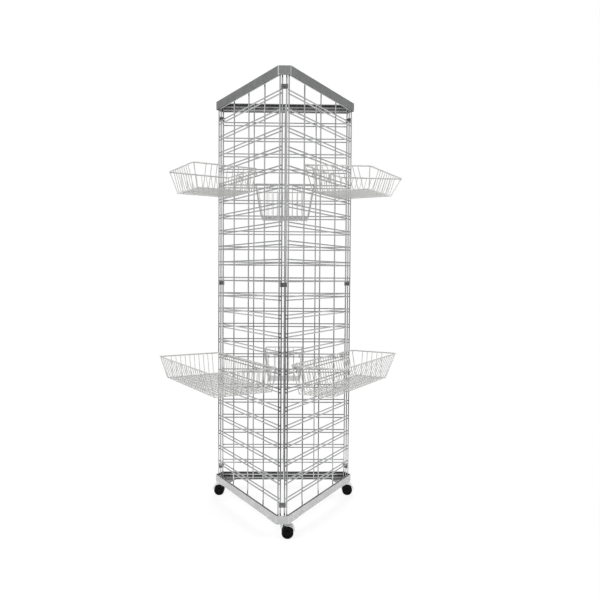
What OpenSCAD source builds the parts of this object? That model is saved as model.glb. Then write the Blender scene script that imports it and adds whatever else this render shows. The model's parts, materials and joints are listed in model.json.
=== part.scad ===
// Three sided slat grid display tower on swivel castors, with wire baskets hung on two levels of each face.
// Millimetres. The origin is on the floor, on the tower's axis. +Z is up and the front corner points to -Y.

/* [Slat panels] */
// Width of a panel between the centres of its edge wires
panel_w = 609.6; // [500:0.1:700]
// Upright wires of a panel, counting the two edge wires
panel_columns = 5; // [4:1:7]
// Wire pairs of a panel
slat_rows = 25; // [20:1:30]
// Height from one wire pair to the next
slat_pitch = 76.2; // [70:0.1:90]
// Distance between the two wires of a pair
pair_gap = 14.8; // [13:0.1:20]
// Diameter of the panel wire
wire_d = 6; // [5:0.1:7]
// Depth of the flat that welding leaves on a wire
weld_flat = 0.2; // [0.1:0.05:0.4]
// Length of a slat wire past the edge wire
slat_overhang = 2; // [1:0.1:3]
// Height of the lowest slat wire over the panel's lower end
bottom_tail = 5; // [4.5:0.1:12]
// Height of the panel's upper end over the highest slat wire
top_tail = 12; // [8:0.1:16]
// Distance between the edge wires of two panels at a corner
corner_gap = 17.2; // [15:0.1:24]

/* [Frames] */
// Thickness of the folded frame sheet
sheet_t = 3; // [2:0.1:4]
// Height of the base frame's web
base_web_h = 32; // [26:0.5:45]
// Height of the top frame's web
top_web_h = 37; // [30:0.5:50]
// Width of the flat at each corner of a frame
corner_flat = 53; // [40:0.5:60]
// Outer radius of the folds at a frame's corners
fold_r = 8; // [5:0.5:14]
// Gap between the panels and the web around them
web_gap = 7; // [6.5:0.1:12]
// Width of the flange past the panels' inner wires
flange_lip = 1; // [0.5:0.1:4]
// Thickness of the corner plates that carry the castors
gusset_t = 4; // [3:0.1:6]
// Length of a corner plate, from the corner's flat inwards
gusset_reach = 72; // [60:1:100]
// Distance from the corner plate's edges to the frame's faces
gusset_inset = 2; // [1:0.1:5]

/* [Panel hold-downs] */
// Length of a hold-down along the slat wire
holddown_l = 14; // [10:0.5:24]
// Thickness of a hold-down
holddown_t = 2; // [1.5:0.1:2.5]
// Diameter of a hold-down screw
holddown_screw_d = 4; // [3:0.1:4.5]
// Diameter of a hold-down screw's head
holddown_head_d = 7; // [6:0.1:7.5]
// Height of a hold-down screw's head
holddown_head_h = 2.6; // [2:0.1:3.5]

/* [Corner clips] */
// Width of a clip plate
clip_w = 28; // [26:0.1:29]
// Height of a clip plate
clip_h = 18; // [14:0.5:30]
// Thickness of a clip plate over the wires
clip_cover = 1.5; // [1:0.1:2]
// Gap between a clip's two plates
clip_split = 1; // [0.6:0.1:2]
// Diameter of a clip's screw
clip_screw_d = 5; // [4:0.1:6]
// Diameter of a clip screw's head
clip_head_d = 9; // [8:0.1:12]
// Height of a clip screw's head
clip_head_h = 3; // [2:0.1:4]
// Width of a clip nut across its flats
clip_nut_af = 8; // [8:0.1:9]
// Height of a clip nut
clip_nut_h = 4; // [3:0.1:5]

/* [Castors] */
// Height from the floor to the corner plate's underside
castor_h = 66; // [64:0.5:80]
// Diameter of a castor's stem
stem_d = 10; // [8:0.1:10.5]
// Diameter of a stem's collar
collar_d = 18; // [16:0.1:24]
// Thickness of a stem's collar
collar_t = 3; // [2:0.1:4]
// Width of a stem nut across its flats
stem_nut_af = 17; // [15:0.1:17]
// Height of a stem nut
stem_nut_h = 8; // [5:0.1:9]
// Horizontal distance from the stem to the axle
castor_trail = 22; // [22:0.1:26]
// Diameter of a wheel
wheel_d = 50; // [44:0.5:50]
// Width of one wheel of a twin pair
wheel_w = 16.4; // [12:0.1:20]
// Radius of a wheel's tread edges
tread_r = 4; // [2:0.1:5]
// Thickness of a wheel's rim under the tread
rim_depth = 8; // [7:0.1:10]
// Thickness of a wheel's disc
disc_t = 9; // [5:0.1:12]
// Diameter of a wheel's hub
wheel_hub_d = 16; // [14:0.1:20]
// Thickness of the hood's boss round the axle
boss_t = 4; // [3:0.1:5]
// Diameter of the axle
axle_d = 8; // [6:0.1:8]
// Diameter of an axle's heads
axle_head_d = 13; // [11:0.1:16]
// Thickness of an axle's heads
axle_head_t = 1.6; // [1:0.1:3]
// Thickness of the hood's web between the wheels
hood_web_t = 8; // [6:0.1:10]
// Gap between a wheel and the hood around it
hood_gap = 5; // [3:0.1:6]
// Thickness of the hood
hood_t = 2.5; // [2:0.1:3]
// Angle at which the hood begins, from level
hood_from = 8; // [0:1:20]
// Angle at which the hood ends, from level
hood_to = 100; // [90:1:104]
// Outer diameter of the hood's stem socket
socket_d = 18; // [15:0.1:18]

/* [Basket wire] */
// Diameter of a basket's rim wire
rim_d = 6; // [5:0.1:6.5]
// Radius of a rim's corners
rim_bend = 14; // [10:0.5:20]
// Diameter of a basket's ribs
rib_d = 3; // [2.5:0.1:4]
// Greatest spacing of a basket's ribs
rib_pitch = 25.4; // [20:0.1:40]
// Radius of the ribs' bends at the floor
rib_bend = 8; // [6:0.5:14]
// Depth of the flat that welding leaves on a rib
rib_flat = 0.15; // [0.1:0.01:0.3]
// Growth of a wire's diameter where it is bent
bend_swell = 0.1; // [0.06:0.01:0.2]
// Diameter of the wires along the floor's ends and up the corners
edge_d = 4; // [3.5:0.1:5]
// Distance from the floor's wires out to the edge wires
edge_out = 2; // [1:0.1:4]
// Diameter of the hook wire
hook_d = 5; // [4:0.1:5.5]
// Length of a hook's tail under the centre of the wire that it hangs on
hook_tail = 8; // [5:0.1:10]
// Length of a hook's leg past the lower wire of the pair
leg_tail = 6; // [4:0.5:12]

/* [Basket places] */
// Wire pair that the upper baskets hang on, from the top
upper_row = 6; // [4:1:9]
// Wire pair that the lower baskets hang on, from the top
lower_row = 17; // [14:1:20]

/* [Upper left basket] */
// Width of the rim
upper_left_w = 298; // [260:1:340]
// Depth of the rim
upper_left_depth = 294; // [200:1:340]
// Height from the floor wires to the rim
upper_left_h = 95; // [80:1:170]
// Distance that the end walls lean in at the floor
upper_left_taper = 29; // [10:1:40]
// Distance that the outer wall leans in at the floor
upper_left_front = 26; // [10:1:50]
// Distance that the wall at the panel leans in at the floor
upper_left_back = 8; // [4:1:32]
// Height of the rim over the wire that it hangs on
upper_left_lift = 14; // [6:1:30]
// Distance from the hooks out to the rim
upper_left_standoff = 0; // [0:1:20]
// Shift along the face, away from the front corner
upper_left_shift = 41; // [-40:1:60]

/* [Upper right basket] */
// Width of the rim
upper_right_w = 374; // [320:1:420]
// Depth of the rim
upper_right_depth = 304; // [200:1:340]
// Height from the floor wires to the rim at the panel
upper_right_h = 109; // [90:1:170]
// Distance that the end walls lean in at the floor
upper_right_taper = 58; // [10:1:60]
// Distance that the outer wall leans in at the floor
upper_right_front = 27; // [10:1:50]
// Distance that the wall at the panel leans in at the floor
upper_right_back = 8; // [4:1:32]
// Height of the rim over the wire that it hangs on
upper_right_lift = 22; // [6:1:30]
// Distance from the hooks out to the rim
upper_right_standoff = 0; // [0:1:20]
// Shift along the face, away from the front corner
upper_right_shift = 10; // [-40:1:60]
// Fall of the rim from the panel to the outer wall
upper_right_fall = 29; // [0:1:34]

/* [Upper back basket] */
// Width of the rim
upper_back_w = 297; // [240:1:380]
// Depth of the rim
upper_back_depth = 297; // [200:1:340]
// Height from the floor wires to the rim
upper_back_h = 160; // [80:1:180]
// Distance that the end walls lean in at the floor
upper_back_taper = 28; // [10:1:40]
// Distance that the outer wall leans in at the floor
upper_back_front = 24; // [10:1:50]
// Distance that the wall at the panel leans in at the floor
upper_back_back = 8; // [4:1:32]
// Height of the rim over the wire that it hangs on
upper_back_lift = 6; // [6:1:30]
// Distance from the hooks out to the rim
upper_back_standoff = 0; // [0:1:20]

/* [Lower left basket] */
// Width of the rim
lower_left_w = 594; // [500:1:620]
// Depth of the rim
lower_left_depth = 303; // [200:1:340]
// Height from the floor wires to the rim
lower_left_h = 98; // [80:1:170]
// Distance that the end walls lean in at the floor
lower_left_taper = 20; // [10:1:40]
// Distance that the outer wall leans in at the floor
lower_left_front = 27; // [10:1:50]
// Distance that the wall at the panel leans in at the floor
lower_left_back = 8; // [4:1:32]
// Height of the rim over the wire that it hangs on
lower_left_lift = 9; // [6:1:30]
// Distance from the hooks out to the rim
lower_left_standoff = 0; // [0:1:20]
// Shift along the face, away from the front corner
lower_left_shift = 2; // [-40:1:60]

/* [Lower right basket] */
// Width of the rim
lower_right_w = 614; // [500:1:620]
// Depth of the rim
lower_right_depth = 232; // [200:1:340]
// Height from the floor wires to the rim
lower_right_h = 117; // [80:1:170]
// Distance that the end walls lean in at the floor
lower_right_taper = 16; // [10:1:40]
// Distance that the outer wall leans in at the floor
lower_right_front = 42; // [10:1:50]
// Distance that the wall at the panel leans in at the floor
lower_right_back = 26; // [4:1:32]
// Height of the rim over the wire that it hangs on
lower_right_lift = 22; // [6:1:30]
// Distance from the hooks out to the rim
lower_right_standoff = 10; // [0:1:20]
// Shift along the face, away from the front corner
lower_right_shift = 10; // [-40:1:60]

/* [Lower back basket] */
// Width of the rim
lower_back_w = 200; // [196:1:300]
// Depth of the rim
lower_back_depth = 240; // [180:1:340]
// Height from the floor wires to the rim
lower_back_h = 150; // [80:1:180]
// Distance that the end walls lean in at the floor
lower_back_taper = 20; // [10:1:30]
// Distance that the outer wall leans in at the floor
lower_back_front = 24; // [10:1:50]
// Distance that the wall at the panel leans in at the floor
lower_back_back = 8; // [4:1:32]
// Height of the rim over the wire that it hangs on
lower_back_lift = 6; // [6:1:30]
// Distance from the hooks out to the rim
lower_back_standoff = 0; // [0:1:20]

/* [Clearances] */
// Radial clearance of a running fit
running_fit = 0.05; // [0.02:0.01:0.09]
// Radial clearance round a fastener
fastener_fit = 0.2; // [0.1:0.05:0.3]
// Gap between a hook and the wires that it hangs on
hook_clear = 0.3; // [0.3:0.05:0.6]
// Gap between a stem nut and the base frame's flanges
nut_clear = 0.6; // [0.4:0.1:3]
// Gap between a clip plate's grooves and the wires
clip_clear = 0.1; // [0.05:0.05:0.2]
// End gap of a wheel on its axle
wheel_clear = 0.5; // [0.3:0.05:0.8]
// Gap between the welded walls of a basket
wall_gap = 0.05; // [0.02:0.01:0.2]

/* [Hidden] */
$fn = 32;

// Turns that bring a face's outward side, +Y, to each side of the tower
face_turns = [120, 240, 0];
left_turn = face_turns[0];
right_turn = face_turns[1];
back_turn = face_turns[2];
// Turns that bring the front corner, -Y, to each corner
corner_turns = [0, 120, 240];

// Heights
base_z = castor_h + gusset_t;
panel_z = base_z + sheet_t;
first_slat_z = panel_z + bottom_tail;
last_slat_z = first_slat_z + (slat_rows - 1) * slat_pitch + pair_gap;
panel_h = last_slat_z + top_tail - panel_z;
top_z = panel_z + panel_h + sheet_t;

// Distances from the tower's axis, square to a face
wire_r = wire_d / 2;
layer = wire_d - 2 * weld_flat;
panel_apothem = panel_w / (2 * sqrt(3)) + corner_gap / sqrt(3);
slat_apothem = panel_apothem + layer;
edge_apothem = panel_apothem + 2 * layer;
frame_apothem = edge_apothem + wire_r + web_gap + sheet_t;
flange_apothem = panel_apothem - wire_r - flange_lip;
flat_reach = 2 * frame_apothem - corner_flat * sqrt(3) / 2;
stem_reach = 2 * (flange_apothem - nut_clear - stem_nut_af / (2 * cos(30)));
edge_wire_reach = 2 * panel_apothem - corner_gap * sqrt(3) / 2;
bay = panel_w / (panel_columns - 1);

// Angle at which a fold's curve meets the frame's faces
fold_meet = 3;

// Room around things that are cut
far = 2000;
cut = 1;

// Upper wire of a pair, counted from the top
function pair_z(row) = last_slat_z - (row - 1) * slat_pitch;

module at_face(turn) {
  rotate([0, 0, turn])
    children();
}

// A slat wire or upright along +Z, with a weld flat on two sides
module panel_wire(length, turn) {
  linear_extrude(length)
    intersection() {
      circle(d = wire_d);
      rotate(turn)
        square([wire_d + cut, layer], center = true);
    }
}

// One welded panel, outer side towards +Y: uprights inside, paired slat wires, a second upright at each edge
module panel(turn) {
  color("silver")
    at_face(turn)
      union() {
        for (i = [0 : panel_columns - 1])
          translate([i * bay - panel_w / 2, panel_apothem, panel_z])
            panel_wire(panel_h, 0);
        for (side = [-1, 1])
          translate([side * panel_w / 2, edge_apothem, panel_z])
            panel_wire(panel_h, 0);
        for (row = [1 : slat_rows], drop = [0, pair_gap])
          translate([-panel_w / 2 - slat_overhang, slat_apothem, pair_z(row) - drop])
            rotate([90, 0, 90])
              panel_wire(panel_w + 2 * slat_overhang, 90);
      }
}

// A triangle with sides at a distance from the axis, one corner towards -Y
module triangle(apothem) {
  rotate(-90)
    circle(r = 2 * apothem, $fn = 3);
}

// Corner of a frame's outline at the front's right side, set in from its outer faces
function frame_corner(inset) =
  [(frame_apothem - inset - (flat_reach - inset) / 2) / cos(30), inset - flat_reach];

// A point turned about the axis
function turned(p, turn) = [p[0] * cos(turn) - p[1] * sin(turn), p[0] * sin(turn) + p[1] * cos(turn)];

// A frame's outline, set in from its outer faces, with round folds that meet the faces at a slight angle
module frame_outline(inset) {
  radius = fold_r - inset;
  sink = radius * cos(fold_meet);
  centre = frame_corner(inset + sink);
  on_flat = [centre[0], centre[1] - sink];
  on_side = [centre[0] + sink * cos(30), centre[1] - sink / 2];
  polygon([for (turn = corner_turns, p = [[-1, on_side], [-1, on_flat], [1, on_flat], [1, on_side]])
    turned([p[0] * p[1][0], p[1][1]], turn)]);
  for (turn = corner_turns, side = [-1, 1])
    translate(turned([side * centre[0], centre[1]], turn))
      circle(r = radius);
}

// The web and flange of a frame, flange down
module frame_ring(web_h) {
  difference() {
    linear_extrude(web_h)
      frame_outline(0);
    translate([0, 0, sheet_t])
      linear_extrude(web_h)
        frame_outline(sheet_t);
    translate([0, 0, -cut])
      linear_extrude(web_h)
        triangle(flange_apothem);
    hold_down_places()
      translate([0, 0, -cut])
        cylinder(d = holddown_screw_d + 2 * running_fit, h = sheet_t + 2 * cut);
  }
}

module base_frame() {
  color("lightgray")
    translate([0, 0, base_z])
      frame_ring(base_web_h);
}

module top_frame() {
  color("gray")
    translate([0, 0, top_z])
      mirror([0, 0, 1])
        frame_ring(top_web_h);
}

// Corner plates under the base frame, one castor stem through each
module castor_plates() {
  color("lightgray")
    for (turn = corner_turns)
      rotate([0, 0, turn])
        translate([0, 0, castor_h])
          difference() {
            linear_extrude(gusset_t)
              intersection() {
                frame_outline(gusset_inset);
                translate([-far / 2, -far])
                  square([far, far - flat_reach + gusset_reach]);
              }
            translate([0, -stem_reach, -cut])
              cylinder(d = stem_d + 2 * fastener_fit, h = gusset_t + 2 * cut);
          }
}

// Hold-downs: a bent strip over a panel's end wire, screwed to the flange beside it
holddown_in = slat_apothem + wire_r + hook_clear;
holddown_screw_apothem = holddown_in + holddown_t + holddown_head_d / 2 + hook_clear;
holddown_out = holddown_screw_apothem + holddown_head_d / 2;

module hold_down_places() {
  for (turn = face_turns, side = [-1, 1])
    at_face(turn)
      translate([side * bay / 2, holddown_screw_apothem, 0])
        children();
}

// The strip's profile, up from the flange, at a wire that lies a tail's length over it
module hold_down(tail) {
  over = tail + wire_r + hook_clear;
  translate([-holddown_l / 2, 0, 0])
    rotate([90, 0, 90])
      linear_extrude(holddown_l)
        union() {
          translate([holddown_in - holddown_screw_apothem, 0])
            square([holddown_out - holddown_in, holddown_t]);
          translate([holddown_in - holddown_screw_apothem, 0])
            square([holddown_t, over + holddown_t]);
          translate([slat_apothem - wire_r - holddown_screw_apothem, over])
            square([holddown_in + holddown_t - slat_apothem + wire_r, holddown_t]);
        }
}

module hold_down_set(tail) {
  hold_down_places()
    difference() {
      hold_down(tail);
      translate([0, 0, -cut])
        cylinder(d = holddown_screw_d + 2 * fastener_fit, h = holddown_t + 2 * cut);
    }
}

module panel_hold_downs() {
  color("dimgray") {
    translate([0, 0, panel_z])
      hold_down_set(bottom_tail);
    translate([0, 0, panel_z + panel_h])
      mirror([0, 0, 1])
        hold_down_set(top_tail);
  }
}

// A screw with its shank down through the strip and the flange, from the strip's upper face
module hold_down_screw() {
  translate([0, 0, holddown_t]) {
    cylinder(d = holddown_head_d, h = holddown_head_h);
    translate([0, 0, -holddown_t - sheet_t])
      cylinder(d = holddown_screw_d, h = holddown_t + sheet_t + cut);
  }
}

module hold_down_screws() {
  color("silver") {
    translate([0, 0, panel_z])
      hold_down_places()
        hold_down_screw();
    translate([0, 0, panel_z + panel_h])
      mirror([0, 0, 1])
        hold_down_places()
          hold_down_screw();
  }
}

// Corner clips: two grooved plates that hold neighbouring edge wires, three to a corner
clip_offset = clip_h / 2 + wire_r + cut;
clip_heights = [
  pair_z(slat_rows - 1) - pair_gap - clip_offset,
  pair_z(floor(slat_rows / 2)) - pair_gap - clip_offset,
  pair_z(2) + clip_offset
];
clip_plate_t = wire_r + clip_cover - clip_split / 2;

module at_clips() {
  for (turn = corner_turns, z = clip_heights)
    rotate([0, 0, turn])
      translate([0, -edge_wire_reach, z])
        rotate([90, 0, 0])
          children();
}

// A plate on the outer side of the wires' plane, grooves towards the wires
module clip_plate() {
  difference() {
    translate([-clip_w / 2, -clip_h / 2, clip_split / 2])
      cube([clip_w, clip_h, clip_plate_t]);
    for (side = [-1, 1])
      translate([side * corner_gap / 2, 0, 0])
        rotate([90, 0, 0])
          cylinder(r = wire_r + clip_clear, h = clip_h + 2 * cut, center = true);
    cylinder(d = clip_screw_d + 2 * fastener_fit, h = far, center = true);
  }
}

module clip_outer_plates() {
  color("dimgray")
    at_clips()
      clip_plate();
}

module clip_inner_plates() {
  color("dimgray")
    at_clips()
      mirror([0, 0, 1])
        clip_plate();
}

clip_face = clip_split / 2 + clip_plate_t;

module clip_screws() {
  color("silver")
    at_clips() {
      translate([0, 0, clip_face])
        cylinder(d = clip_head_d, h = clip_head_h);
      translate([0, 0, -clip_face - clip_nut_h - cut])
        cylinder(d = clip_screw_d, h = 2 * clip_face + clip_nut_h + 2 * cut);
    }
}

module clip_nuts() {
  color("silver")
    at_clips()
      translate([0, 0, -clip_face - clip_nut_h])
        hex_nut(clip_nut_af, clip_nut_h, clip_screw_d);
}

module hex_nut(across_flats, height, screw_d) {
  difference() {
    cylinder(d = across_flats / cos(30), h = height, $fn = 6);
    translate([0, 0, -cut])
      cylinder(d = screw_d + 2 * running_fit, h = height + 2 * cut);
  }
}

// Castors, each with its axle to the given side of its stem
axle_z = wheel_d / 2;
socket_top = castor_h - collar_t - wheel_clear;
hood_in = wheel_d / 2 + hood_gap;
hood_out = hood_in + hood_t;
wheel_in = hood_web_t / 2 + wheel_clear;
axle_half = wheel_in + wheel_w + wheel_clear;
socket_back = castor_trail - socket_d / 2;
socket_floor = axle_z + sqrt(pow(wheel_d / 2 + wheel_clear, 2) - pow(socket_back, 2)) + wheel_clear;
socket_bore_z = socket_floor + cut;

front_castor = [0, -stem_reach, 0];
right_castor = [stem_reach * cos(30), stem_reach * sin(30), 0];
left_castor = [-stem_reach * cos(30), stem_reach * sin(30), 0];
axle_right = 0;
axle_left = 180;

module at_castor(place, heading) {
  translate(place)
    rotate([0, 0, heading])
      children();
}

module at_axle() {
  translate([castor_trail, 0, axle_z])
    rotate([90, 0, 0])
      children();
}

// Threaded stem with a collar under the corner plate and a plain pin in the hood's socket
module stem(place) {
  pin_end = socket_bore_z + wheel_clear;
  color("silver")
    translate(place) {
      translate([0, 0, castor_h - collar_t])
        cylinder(d = collar_d, h = collar_t);
      translate([0, 0, pin_end])
        cylinder(d = stem_d, h = base_z + stem_nut_h + 2 * cut - pin_end);
    }
}

module stem_nut(place) {
  color("silver")
    translate(place)
      translate([0, 0, base_z])
        hex_nut(stem_nut_af, stem_nut_h, stem_d);
}

// A sector of a disc about the axle, in the wheel's plane
module wedge(radius, from, to) {
  middle = (from + to) / 2;
  intersection() {
    circle(r = radius, $fn = 64);
    polygon([
      [0, 0],
      [2 * radius * cos(from), 2 * radius * sin(from)],
      [2 * radius * cos(middle), 2 * radius * sin(middle)],
      [2 * radius * cos(to), 2 * radius * sin(to)]
    ]);
  }
}

// Hood: stem socket, web between the wheels and a band over both of them
module hood(place, heading) {
  color("lightgray")
    at_castor(place, heading)
      difference() {
        union() {
          translate([0, 0, socket_floor])
            cylinder(d = socket_d, h = socket_top - socket_floor);
          at_axle()
            translate([0, 0, -hood_web_t / 2])
              linear_extrude(hood_web_t)
                union() {
                  circle(d = axle_d + 2 * boss_t);
                  wedge(hood_in + hood_t / 2, hood_from, hood_to);
                  hood_neck();
                }
          at_axle()
            rotate([0, 0, hood_from])
              rotate_extrude(angle = hood_to - hood_from, $fn = 64)
                translate([hood_in, -axle_half])
                  square([hood_t, 2 * axle_half]);
        }
        translate([0, 0, socket_bore_z])
          cylinder(d = stem_d + 2 * running_fit, h = socket_top);
        at_axle()
          cylinder(d = axle_d + 2 * running_fit, h = far, center = true);
      }
}

// The web's neck from the axle to the socket, in the wheel's plane
module hood_neck() {
  neck_top = socket_floor + cut - axle_z;
  polygon([
    [0, 0],
    [-castor_trail - socket_d / 2, neck_top],
    [-castor_trail - socket_d / 2, neck_top - 2 * cut],
    [-castor_trail, 0],
    [-axle_d, -axle_d / 2]
  ]);
  polygon([
    [0, 0],
    [-castor_trail - socket_d / 2, neck_top],
    [-castor_trail + socket_d / 2, neck_top],
    [0, hood_in]
  ]);
}

module axle(place, heading) {
  color("silver")
    at_castor(place, heading)
      at_axle() {
        cylinder(d = axle_d, h = 2 * axle_half + cut, center = true);
        for (side = [0, 1])
          mirror([0, 0, side])
            translate([0, 0, axle_half])
              cylinder(d = axle_head_d, h = axle_head_t);
      }
}

// A rounded rectangle from its lower left corner, with round right corners
module tread_section(depth, width, radius) {
  square([depth - radius, width]);
  translate([0, radius])
    square([depth, width - 2 * radius]);
  for (y = [radius, width - radius])
    translate([depth - radius, y])
      circle(r = radius);
}

// One wheel of a twin pair: rounded tread, dished disc and hub
module wheel(place, heading, side) {
  color("#181818")
    at_castor(place, heading)
      at_axle()
        mirror([0, 0, side])
          translate([0, 0, wheel_in])
            rotate_extrude($fn = 64)
              difference() {
                union() {
                  translate([wheel_d / 2 - rim_depth, 0])
                    tread_section(rim_depth, wheel_w, tread_r);
                  translate([0, (wheel_w - disc_t) / 2])
                    square([wheel_d / 2 - rim_depth + cut, disc_t]);
                  square([wheel_hub_d / 2, wheel_w]);
                }
                translate([0, -cut])
                  square([axle_d / 2 + running_fit, wheel_w + 2 * cut]);
              }
}

// Baskets, in a face's frame: x along the face, y outwards, z up
rib_layer = rib_d - 2 * rib_flat;
hook_arc = wire_r + hook_clear + hook_d / 2;
rim_apothem = slat_apothem + hook_arc;
hook_spread = bay / 2;

// Number of ribs over a length
function rib_count(length) = max(2, ceil(length / rib_pitch) - 1);

// Lean of a wall that rises a height and leans out by a taper
function lean(height, taper) = atan2(taper, height);

// Distance from a rim's wire in to where the floor's wires begin
function floor_inset(height, taper) =
  let (a = lean(height, taper))
  rib_bend * cos(a) + (height - rib_bend + rib_bend * sin(a)) * tan(a);

// Length by which a straight wire runs into a bend
bend_lap = 0.5;

// In the x z plane, with the rim's centre at the origin: the bend that a rib starts with at the floor
module rib_foot(height, taper) {
  translate([-floor_inset(height, taper), 0, rib_bend - height])
    rotate([90, 0, 0])
      rotate([0, 0, -90])
        rotate_extrude(angle = 90 - lean(height, taper))
          translate([rib_bend, 0])
            circle(d = rib_d + bend_swell);
}

// In the same plane: the straight from the bend up to the rim's centre
module rib_rise(height, taper) {
  a = lean(height, taper);
  straight = (height - rib_bend + rib_bend * sin(a)) / cos(a);
  rotate([0, a, 0])
    translate([0, 0, -straight - bend_lap])
      cylinder(d = rib_d, h = straight + bend_lap);
}

// Ribs at places along y, under a rim at the origin that falls by a slope along y
module rib_feet(places, height, taper, slope) {
  for (y = places)
    translate([0, y, -slope * y])
      rib_foot(height - slope * y, taper);
}

module rib_rises(places, height, taper, slope) {
  for (y = places)
    translate([0, y, -slope * y])
      rib_rise(height - slope * y, taper);
}

// A straight floor wire with weld flats above and below, along +X from its middle
module floor_wire(length) {
  rotate([90, 0, 90])
    translate([0, 0, -length / 2])
      linear_extrude(length)
        intersection() {
          circle(d = rib_d);
          square([rib_d + cut, rib_layer], center = true);
        }
}

// A straight wire from one point to another
module strut(from, to, d) {
  run = to - from;
  translate(from)
    rotate([0, acos(run[2] / norm(run)), atan2(run[1], run[0])])
      cylinder(d = d, h = norm(run));
}

// Hook: a leg along the wall, a finger over the wire, a tail behind it and an arm out to the rim
module hook(lift, standoff) {
  leg_foot = -pair_gap - leg_tail;
  if (standoff > 0)
    translate([0, hook_arc - hook_d / 2 - bend_swell, lift])
      rotate([-90, 0, 0])
        cylinder(d = hook_d + bend_swell, h = standoff + hook_d / 2 + bend_swell);
  translate([0, hook_arc, leg_foot])
    cylinder(d = hook_d, h = lift - leg_foot);
  translate([0, hook_arc, hook_arc])
    rotate([90, 0, 0])
      cylinder(d = hook_d - bend_swell, h = hook_arc + bend_lap);
  rotate([90, 0, 90])
    rotate([0, 0, 90])
      rotate_extrude(angle = 90)
        translate([hook_arc, 0])
          circle(d = hook_d);
  translate([0, -hook_arc, -hook_tail])
    cylinder(d = hook_d - bend_swell, h = hook_tail + bend_lap);
}

// Height of an edge wire's centre over that of the ribs that lie on it
edge_rise = -(rib_d + bend_swell + edge_d) / 2 - wall_gap;

// Distance from a rim's sharp corner to the middle of its bend, along each side
bend_in = rim_bend * (1 - cos(45));

// A wire basket on a face: five flat walls of ribs that share a bent rim, and two hooks
module basket(turn, row, lift, w, depth, h, taper, front, back, standoff, shift, fall, spread) {
  tilt = atan2(fall, depth);
  slope = fall / depth;
  span = depth / cos(tilt);
  end_h = h - rib_layer;
  end_inset = floor_inset(h, taper);
  outer_h = h - fall;
  outer_inset = floor_inset(outer_h, front);
  back_inset = floor_inset(h, back);
  floor_w = w - 2 * end_inset;
  floor_d = depth - back_inset - outer_inset;
  across = rib_count(floor_w);
  along = rib_count(floor_d);
  across_step = floor_w / (across + 1);
  along_step = floor_d / (along + 1);
  floor_mid = back_inset + floor_d / 2;
  across_at = [for (i = [0 : across - 1]) (i - (across - 1) / 2) * across_step];
  along_at = [for (j = [0 : along - 1]) floor_mid + (j - (along - 1) / 2) * along_step];
  edge_x = floor_w / 2 + edge_out;
  edge_in = back_inset - edge_out;
  edge_far = depth - outer_inset + edge_out;
  edge_z = edge_rise - end_h;
  corner_x = w / 2 - bend_in;
  color("gainsboro")
    at_face(turn)
      translate([shift, rim_apothem + standoff, pair_z(row) + lift]) {
        // Wall at the panel
        union() {
          rim_side(w);
          rotate([0, 0, -90])
            rib_feet(across_at, h, back, 0);
          rotate([0, 0, -90])
            rib_rises(across_at, h, back, 0);
          for (side = [-1, 1])
            translate([side * spread - shift, -hook_arc - standoff, -lift])
              hook(lift, standoff);
        }
        // Outer wall
        union() {
          translate([0, depth, -fall])
            rim_side(w);
          translate([0, depth, -fall])
            rotate([0, 0, 90])
              rib_feet(across_at, outer_h, front, 0);
          translate([0, depth, -fall])
            rotate([0, 0, 90])
              rib_rises(across_at, outer_h, front, 0);
        }
        // End walls, with the rim's corners
        for (side = [0, 1])
          mirror([side, 0, 0])
            union() {
              rotate([-tilt, 0, 0])
                translate([w / 2, span / 2, 0])
                  rim_end(span);
              end_frame([corner_x, bend_in, -slope * bend_in], [edge_x, edge_in, edge_z]);
              end_frame([corner_x, depth - bend_in, slope * bend_in - fall], [edge_x, edge_far, edge_z]);
              strut([edge_x, edge_in, edge_z], [edge_x, edge_far, edge_z], edge_d);
              translate([w / 2, 0, 0])
                rib_feet(along_at, end_h, taper, slope);
              translate([w / 2, 0, 0])
                rib_rises(along_at, end_h, taper, slope);
            }
        // Floor, with the wires that run to the end walls on top
        union() {
          for (x = across_at)
            translate([x, floor_mid, -h])
              rotate([0, 0, 90])
                floor_wire(floor_d - 2 * wall_gap);
          for (y = along_at)
            translate([0, y, rib_layer - h])
              floor_wire(w - 2 * floor_inset(end_h - slope * y, taper) - 2 * wall_gap);
        }
      }
}

// A corner upright from the rim's bend down to the floor's corner, and its bend there
module end_frame(top, foot) {
  strut(top, foot, edge_d);
  translate(foot)
    sphere(d = edge_d + bend_swell);
}

// A straight stretch of rim along X, between the bends of a rim of the given width
module rim_side(width) {
  rotate([0, 90, 0])
    cylinder(d = rim_d, h = width - 2 * rim_bend - 2 * wall_gap, center = true);
}

// The rim at an end, along Y, with a bend at each corner
module rim_end(span) {
  rotate([90, 0, 0])
    cylinder(d = rim_d, h = span - 2 * rim_bend + 2 * bend_lap, center = true);
  for (side = [0, 1])
    mirror([0, side, 0])
      translate([-rim_bend, span / 2 - rim_bend, 0])
        rotate_extrude(angle = 90)
          translate([rim_bend, 0])
            circle(d = rim_d + bend_swell);
}

base_frame();
castor_plates();
top_frame();
panel(left_turn);  // left_panel
panel(right_turn);  // right_panel
panel(back_turn);  // back_panel
panel_hold_downs();
hold_down_screws();
clip_outer_plates();
clip_inner_plates();
clip_screws();
clip_nuts();
stem(front_castor);  // front_stem
stem_nut(front_castor);  // front_stem_nut
hood(front_castor, axle_right);  // front_hood
axle(front_castor, axle_right);  // front_axle
wheel(front_castor, axle_right, 0);  // front_near_wheel
wheel(front_castor, axle_right, 1);  // front_far_wheel
stem(left_castor);  // left_stem
stem_nut(left_castor);  // left_stem_nut
hood(left_castor, axle_left);  // left_hood
axle(left_castor, axle_left);  // left_axle
wheel(left_castor, axle_left, 1);  // left_near_wheel
wheel(left_castor, axle_left, 0);  // left_far_wheel
stem(right_castor);  // right_stem
stem_nut(right_castor);  // right_stem_nut
hood(right_castor, axle_right);  // right_hood
axle(right_castor, axle_right);  // right_axle
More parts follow.
